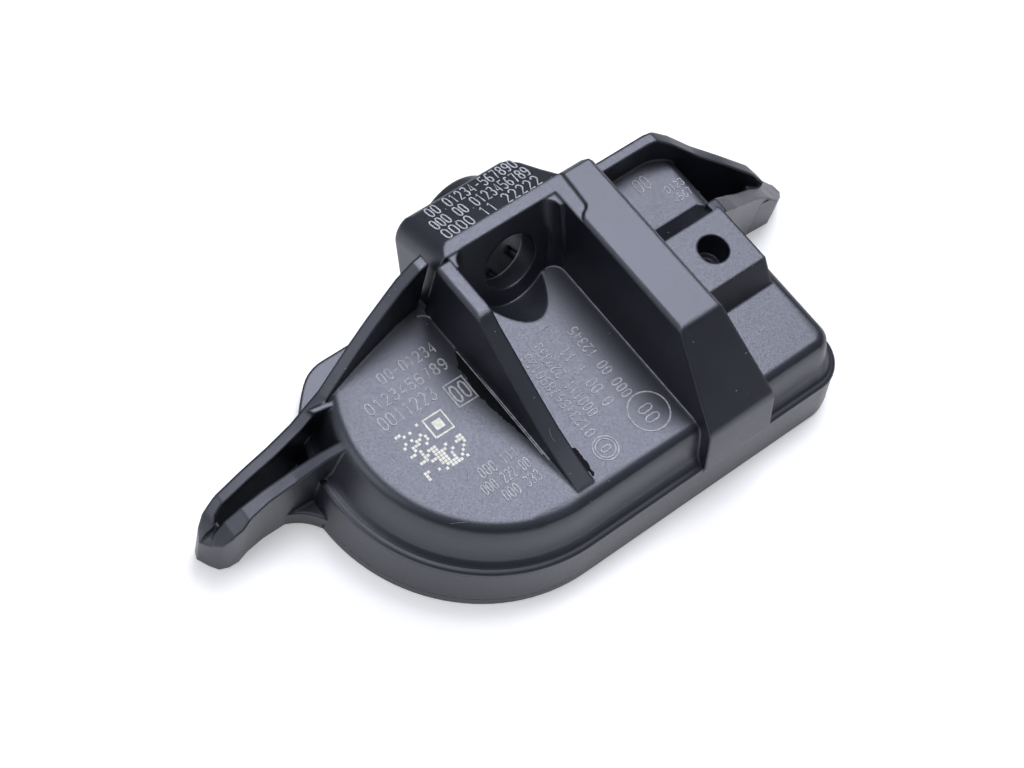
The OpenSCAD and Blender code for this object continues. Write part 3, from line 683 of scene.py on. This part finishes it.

# %% [markdown]
# Beside the rib's foot a strip of painted shade lies between the flash and a ragged edge: a
# darker, rougher slab that stands for the shade on the deck next to the rib. It is a thin slab
# between two uneven lines. The same slab makes the torn chips at the front foot of the rib.

# %% Painted shade beside the rib, and torn chips
RAGGED_SEED = 7
SLAB_HALF_MM = 0.012
RIB_FOOT_X = -5.5
# how far apart the points of a ragged line lie, and how far they wander
STRIP_RAGGED = (0.12, 0.06)
CHIP_RAGGED = (0.15, 0.05)
# ragged outer edge of the painted shade beside the rib's foot
shade_strip_edge = [(RIB_FOOT_X, 3.72), (-5.92, 2.94), (-6.35, 2.28), (-6.27, 1.48), (-6.51, 0.52),
               (-6.48, -0.34), (-6.40, -0.68), (-6.33, -1.47), (-6.18, -2.50), (-5.97, -3.56),
               (-5.78, -4.42), (-5.60, -5.84), (RIB_FOOT_X, -6.75)]
chip_outlines = [
    [(-3.72, -6.9), (-3.5, -7.1), (-3.44, -7.8), (-3.52, -8.5), (-3.62, -9.3), (-3.82, -9.5),
     (-3.9, -8.4)],
    [(-4.85, -9.42), (-4.5, -9.38), (-4.2, -9.44), (-4.25, -9.56), (-4.75, -9.58)],
]


def ragged(points, draw, step, amount):
    """The same line with extra points that wander sideways."""
    out = []
    for (x0, y0), (x1, y1) in zip(points, points[1:]):
        count = max(1, int(math.dist((x0, y0), (x1, y1)) / step))
        for i in range(count):
            t = i / count
            out.append((x0 + (x1 - x0) * t + draw.uniform(-amount, amount),
                        y0 + (y1 - y0) * t + draw.uniform(-amount, amount) / 2))
    return out + [points[-1]]


def thin_slab(name, outline, material):
    """A closed flat piece with the given outline, centred on the deck."""
    mesh = bmesh.new()
    low_z = (DECK_Z - SLAB_HALF_MM) * MM
    base = mesh.faces.new([mesh.verts.new((x * MM, y * MM, low_z)) for x, y in outline])
    lifted = bmesh.ops.extrude_face_region(mesh, geom=[base])
    verts = [g for g in lifted["geom"] if isinstance(g, bmesh.types.BMVert)]
    bmesh.ops.translate(mesh, verts=verts, vec=(0, 0, 2 * SLAB_HALF_MM * MM))
    bmesh.ops.triangulate(mesh, faces=mesh.faces)
    bmesh.ops.recalc_face_normals(mesh, faces=mesh.faces)
    return piece_from(name, mesh, material)


ragged_draw = random.Random(RAGGED_SEED)
inner_edge = [(RIB_FOOT_X, y) for _, y in reversed(shade_strip_edge)]
outer_edge = ragged(shade_strip_edge, ragged_draw, *STRIP_RAGGED)
# the dark slab laid here is painted shade beside the rib's foot
thin_slab("rib_painted_shade", outer_edge + inner_edge[1:-1], painted_shade_and_chip_skin)
for i, outline in enumerate(chip_outlines):
    closed = outline + outline[:1]
    thin_slab(f"rib_chip_{i + 1}", ragged(closed, ragged_draw, *CHIP_RAGGED)[:-1], painted_shade_and_chip_skin)
# the strip counted here is painted shade
print("one bruised strip and", len(chip_outlines), "chips")

# %% [markdown]
# A part fresh from a workshop carries dust and a few lint fibres. Each speck is dropped from
# above onto the case at a seeded random place, so it rests on whatever face lies below. None
# lands on the very top, where it would make the part taller.

# %% Dust and lint
DUST_SEED, SPECKS = 5, 70
DUST_X, DUST_Y = (-20, 20), (-11.5, 9.5)
SPECK_MM = (0.03, 0.07)
CLEAR_OF_TOP_MM = 0.05
LINT_SEED, FIBRES = 11, 9
LINT_X, LINT_Y = (-14, 15), (-10.5, 8)
FIBRE_MM = 0.03
FIBRE_LENGTH_MM = (0.5, 1.1)
FIBRE_POINTS = 7
# a fibre lies this far above the skin, and a step larger than the drop ends it
FIBRE_LIFT_MM, FIBRE_DROP_MM = 0.015, 0.15
DROP_FROM_MM = 30
# least upward part of a face's normal on which dust stays
LEVEL_ENOUGH = 0.5


def drop_on_case(x, y):
    """The point of the case below a place, or None where the face is too steep."""
    start = Vector((x, y, DROP_FROM_MM)) * MM
    hit, point, normal, _ = nodes["housing"].ray_cast(start, Vector((0, 0, -1)))
    return point / MM if hit and normal.z > LEVEL_ENOUGH else None


def dust(name, count, seed, material):
    draw = random.Random(seed)
    mesh = bmesh.new()
    made = 0
    while made < count:
        landed = drop_on_case(draw.uniform(*DUST_X), draw.uniform(*DUST_Y))
        size = draw.uniform(*SPECK_MM)
        if landed is None or landed.z > high.z - CLEAR_OF_TOP_MM:
            continue
        verts = bmesh.ops.create_icosphere(mesh, subdivisions=1, radius=size * MM)["verts"]
        bmesh.ops.scale(mesh, vec=(1, draw.uniform(0.6, 1), 0.5), verts=verts)
        bmesh.ops.translate(mesh, verts=verts, vec=landed * MM)
        made += 1
    return piece_from(name, mesh, material)


def lint(name, count, seed, material):
    draw = random.Random(seed)
    lift = Vector((0, 0, FIBRE_LIFT_MM))
    lines = []
    while len(lines) < count:
        x, y = draw.uniform(*LINT_X), draw.uniform(*LINT_Y)
        turn, bend = draw.uniform(0, 6.28), draw.uniform(-1.2, 1.2)
        step = draw.uniform(*FIBRE_LENGTH_MM) / (FIBRE_POINTS - 1)
        line = []
        for _ in range(FIBRE_POINTS):
            landed = drop_on_case(x, y)
            if landed is None or (line and abs((landed + lift).z - line[-1].z) > FIBRE_DROP_MM):
                break
            line.append(landed + lift)
            x, y = x + math.cos(turn) * step, y + math.sin(turn) * step
            turn += bend / (FIBRE_POINTS - 1)
        if len(line) == FIBRE_POINTS:
            lines.append(line)
    return ribbon(name, lines, FIBRE_MM, material)


dust("dust_specks", SPECKS, DUST_SEED, dust_grey)
lint("lint_fibres", FIBRES, LINT_SEED, dust_grey)
print(SPECKS, "specks and", FIBRES, "fibres")

# %% [markdown]
# The studio is a pale table with a soft lamp above and behind the part, and two weaker ones
# straight above and at the left. Level faces mirror the first lamp toward the camera, which
# gives the grey sheen, while steep faces mirror the darker room. The table looks white to the
# camera and still takes the shadow. A light box under it fills the shadow, and only the
# camera, mirrors and glass see that fill, so it adds no diffuse light to the part.

# %% Table, lamps and room
TABLE_FILL = 0.26
TABLE_M = 3.0
# the table lies this far below the part, so that the two faces don't fight
TABLE_GAP_M = 0.00002
# strength of the room near the horizon and overhead
ROOM_LOW, ROOM_HIGH = 0.12, 0.45
# name, direction from the part, distance and sides in metres, power in watts, tint
lamps = [
    ("main_softbox", (0.39, 0.27, 0.88), 0.8, (0.36, 0.38), 3.7, "#f1f3ff"),
    ("top_softbox", (0.02, 0.12, 0.99), 0.8, (0.36, 0.36), 1.4, "#f8f9ff"),
    ("left_softbox", (-0.78, 0.26, 0.56), 0.9, (0.6, 0.6), 2.2, "#f6f8ff"),
]


def add_table():
    """A translucent table, whose fill keeps the shadow pale for the camera."""
    material = new_material("opal_acrylic_table")
    path = add_node(material, "ShaderNodeLightPath").outputs
    seen = add_node(material, "ShaderNodeMath", {
        0: path["Is Camera Ray"], 1: path["Is Glossy Ray"]}, operation="MAXIMUM")
    seen = add_node(material, "ShaderNodeMath", {
        0: seen.outputs[0], 1: path["Is Transmission Ray"]}, operation="MAXIMUM")
    fill = add_node(material, "ShaderNodeMath", {
        0: seen.outputs[0], 1: TABLE_FILL}, operation="MULTIPLY")
    shader = add_node(material, "ShaderNodeBsdfPrincipled", {
        "Base Color": linear("#f4f4f4"), "Roughness": 0.9, "IOR": 1.3,
        "Emission Color": linear("#ffffff"), "Emission Strength": fill.outputs[0]})
    finish_material(material, shader)
    bpy.ops.mesh.primitive_plane_add(size=TABLE_M, location=(0, 0, -TABLE_GAP_M))
    table = bpy.context.object
    table.name = "table"
    table.data.materials.append(material)


def add_lamp(name, direction, distance, sides, power, tint):
    """A soft lamp that looks at the part from a direction; its second side runs toward the top."""
    data = bpy.data.lights.new(name, "AREA")
    data.shape = "RECTANGLE"
    data.size, data.size_y = sides
    data.energy = power
    data.color = linear(tint)[:3]
    lamp = bpy.data.objects.new(name, data)
    bpy.context.scene.collection.objects.link(lamp)
    toward = Vector(direction).normalized()
    lamp.location = toward * distance
    lamp.rotation_euler = toward.to_track_quat("Z", "Y").to_euler()


def add_room():
    """A room that is bright overhead and dim near the horizon."""
    world = bpy.data.worlds.new("studio_room")
    world.use_nodes = True
    bpy.context.scene.world = world
    world.node_tree.nodes.clear()
    sky = add_node(world, "ShaderNodeTexCoord").outputs["Generated"]
    height = add_node(world, "ShaderNodeSeparateXYZ", {"Vector": sky}).outputs["Z"]
    ramp = add_node(world, "ShaderNodeMapRange", {
        "Value": height, "From Min": 0.25, "From Max": 0.9,
        "To Min": ROOM_LOW, "To Max": ROOM_HIGH}, interpolation_type="SMOOTHSTEP")
    background = add_node(world, "ShaderNodeBackground", {
        "Color": linear("#f1f4fb"), "Strength": ramp.outputs[0]})
    add_node(world, "ShaderNodeOutputWorld", {"Surface": background.outputs[0]})


add_table()
for lamp in lamps:
    add_lamp(*lamp)
add_room()
bpy.context.scene.view_settings.view_transform = "Standard"
print(len(lamps), "lamps, one table, one room")
